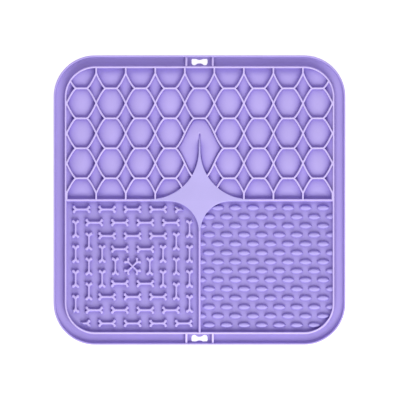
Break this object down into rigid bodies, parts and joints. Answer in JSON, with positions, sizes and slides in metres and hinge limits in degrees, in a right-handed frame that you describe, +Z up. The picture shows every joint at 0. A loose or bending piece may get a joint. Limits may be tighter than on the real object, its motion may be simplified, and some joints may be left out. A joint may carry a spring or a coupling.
{
  "type": "lick mat",
  "caption": "Square purple silicone lick mat with honeycomb cells, raised bones and oval bumps, parted by a flat star and its dividers, with a gutter, a round lip and suction cups",
  "frame": {"origin": "Centre of the mat's outline, on the plane that the suction cups' rims rest on", "axes": "+Z is up, out of the licking field. Seen from above with +Y at the top, the honeycomb lies towards +Y, the bones towards -X and -Y, and the oval bumps towards +X and -Y"},
  "size_m": [0.2, 0.1986, 0.01],
  "materials": {
    "silicone": "soft satin silicone, one purple throughout"
  },
  "bodies": {
    "root": {"base_sheet": "silicone", "gutter_left": "silicone", "gutter_right": "silicone", "outer_lip": "silicone", "inner_frame": "silicone", "hang_tab_top": "silicone", "hang_tab_bottom": "silicone", "tab_ribs_top": "silicone", "tab_ribs_bottom": "silicone", "centre_star": "silicone", "divider_left": "silicone", "divider_right": "silicone", "divider_down": "silicone", "honeycomb_row_1": "silicone", "honeycomb_row_2": "silicone", "honeycomb_row_3": "silicone", "honeycomb_row_4": "silicone", "honeycomb_row_5": "silicone", "hex_domes_row_1": "silicone", "hex_domes_row_2": "silicone", "hex_domes_row_3": "silicone", "hex_domes_row_4": "silicone", "hex_domes_row_5": "silicone", "flame_dome": "silicone", "crossed_bones": "silicone", "bone_ring_1": "silicone", "bone_ring_2": "silicone", "bone_ring_3": "silicone", "bone_ring_4": "silicone", "oval_row_1": "silicone", "oval_row_2": "silicone", "oval_row_3": "silicone", "oval_row_4": "silicone", "oval_row_5": "silicone", "oval_row_6": "silicone", "oval_row_7": "silicone", "oval_row_8": "silicone", "oval_row_9": "silicone", "oval_row_10": "silicone", "oval_row_11": "silicone", "oval_row_12": "silicone", "oval_row_13": "silicone", "oval_row_14": "silicone", "cup_row_1": "silicone", "cup_row_2": "silicone", "cup_row_3": "silicone", "cup_row_4": "silicone", "cup_row_5": "silicone", "cup_row_6": "silicone"}
  },
  "joints": []
}
